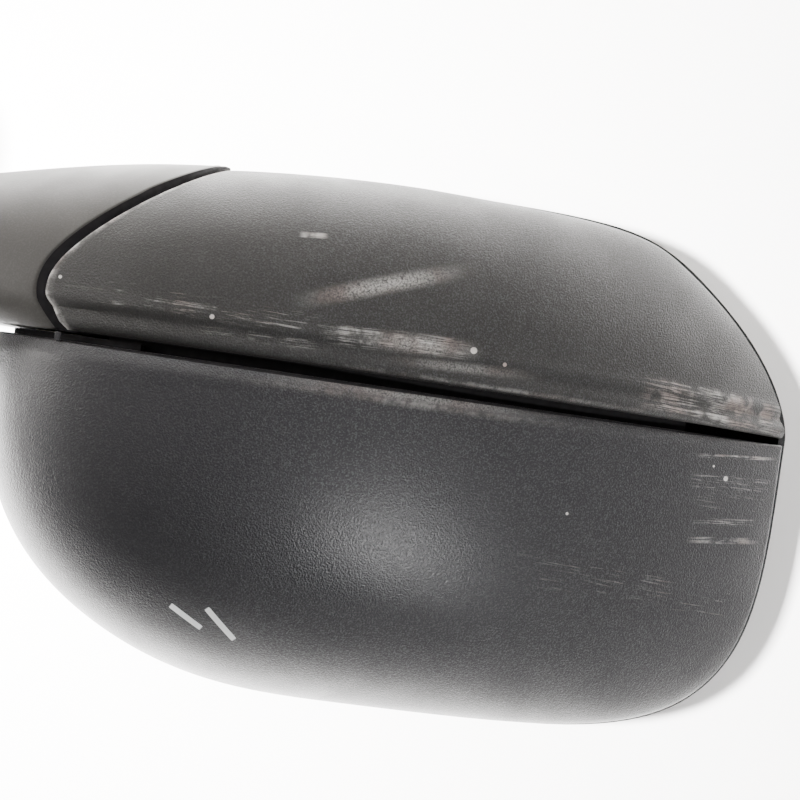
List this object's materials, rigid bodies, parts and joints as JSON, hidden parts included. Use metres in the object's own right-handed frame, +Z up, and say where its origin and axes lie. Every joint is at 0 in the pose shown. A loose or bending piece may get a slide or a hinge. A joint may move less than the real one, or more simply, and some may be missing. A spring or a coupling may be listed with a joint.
{
  "type": "towing mirror",
  "caption": "Wide black right-hand door mirror head on a short arm that folds rearwards, with a motor-driven main glass and a convex spotter glass below.",
  "frame": {"origin": "centre of the foot's flat face, where it is bolted to the door", "axes": "+Z up, +Y the vehicle's forward direction, +X away from the door towards the head"},
  "size_m": [0.3966, 0.128, 0.1992],
  "materials": {
    "textured_black": "fine-grained moulded polypropylene",
    "trim_black": "fine-grained moulded polypropylene, scuffed",
    "bezel_black": "fine satin moulded plastic",
    "inner_plastic": "glass-filled nylon",
    "natural_plastic": "natural acetal",
    "cast_aluminium": "as-cast",
    "zinc_steel": "zinc plated",
    "spring_steel": "oiled spring steel",
    "motor_steel": "plated can",
    "mirror_glass": "silvered glass",
    "heater_foil": "printed carbon foil",
    "seal_rubber": "EPDM"
  },
  "bodies": {
    "arm": {"arm_core": "cast_aluminium", "arm_cover_front": "textured_black", "arm_cover_rear": "textured_black", "foot_cover": "textured_black", "foot_gasket": "seal_rubber", "mounting_studs": "zinc_steel", "cable_grommet": "seal_rubber", "pivot_post": "zinc_steel", "detent_ring": "natural_plastic", "fold_spring": "spring_steel", "spring_cap": "zinc_steel"},
    "head": {"head_frame": "inner_plastic", "dome_cover": "textured_black", "lower_trim": "trim_black", "bezel": "bezel_black", "bezel_screws": "zinc_steel", "cover_clips": "spring_steel", "drive_case_rear": "inner_plastic", "drive_case_front": "inner_plastic", "drive_screws": "zinc_steel", "tilt_motor": "motor_steel", "tilt_worm": "natural_plastic", "pan_motor": "motor_steel", "pan_worm": "natural_plastic", "spotter_bracket": "inner_plastic"},
    "tilt_ring": {"glass_gimbal": "natural_plastic"},
    "glass": {"glass_holder": "inner_plastic", "glass_heater": "heater_foil", "main_glass": "mirror_glass"},
    "tilt_screw": {"tilt_plunger": "natural_plastic"},
    "pan_screw": {"pan_plunger": "natural_plastic"},
    "tilt_nut": {"tilt_gear": "natural_plastic"},
    "pan_nut": {"pan_gear": "natural_plastic"},
    "spotter_ring": {"spotter_gimbal": "natural_plastic"},
    "spotter": {"spotter_holder": "inner_plastic", "spotter_glass": "mirror_glass"}
  },
  "joints": [
    {"name": "head_fold", "type": "hinge", "parent": "arm", "child": "head", "pos_m": [0.104, 0, 0], "axis": [0, 0, -1], "range_deg": [0, 75]},
    {"name": "glass_tilt", "type": "hinge", "parent": "head", "child": "tilt_ring", "pos_m": [0.225, -0.027, 0.084], "axis": [1, 0, 0], "range_deg": [-6, 6]},
    {"name": "glass_pan", "type": "hinge", "parent": "tilt_ring", "child": "glass", "pos_m": [0.225, -0.027, 0.084], "axis": [0, 0, 1], "range_deg": [-5, 5]},
    {"name": "tilt_screw_slide", "type": "slide", "parent": "head", "child": "tilt_screw", "axis": [0, -1, 0], "range_m": [-0.0034, 0.0034]},
    {"name": "pan_screw_slide", "type": "slide", "parent": "head", "child": "pan_screw", "axis": [0, -1, 0], "range_m": [-0.0036, 0.0036]},
    {"name": "tilt_nut_spin", "type": "hinge", "parent": "head", "child": "tilt_nut", "pos_m": [0.225, -0.0095, 0.11], "axis": [0, 1, 0], "range_deg": [-300, 300]},
    {"name": "pan_nut_spin", "type": "hinge", "parent": "head", "child": "pan_nut", "pos_m": [0.257, -0.0095, 0.084], "axis": [0, 1, 0], "range_deg": [-310, 310]},
    {"name": "spotter_tilt", "type": "hinge", "parent": "head", "child": "spotter_ring", "pos_m": [0.262, -0.027, -0.003], "axis": [1, 0, 0], "range_deg": [-5, 5]},
    {"name": "spotter_pan", "type": "hinge", "parent": "spotter_ring", "child": "spotter", "pos_m": [0.262, -0.027, -0.003], "axis": [0, 0, 1], "range_deg": [-5, 5]}
  ],
  "couplings": [
    {"joint": "tilt_screw_slide", "follows": "glass_tilt", "m_per_rad": 0.026},
    {"joint": "pan_screw_slide", "follows": "glass_pan", "m_per_rad": -0.032},
    {"joint": "tilt_nut_spin", "follows": "glass_tilt", "ratio": 40.841},
    {"joint": "pan_nut_spin", "follows": "glass_pan", "ratio": -50.266}
  ]
}
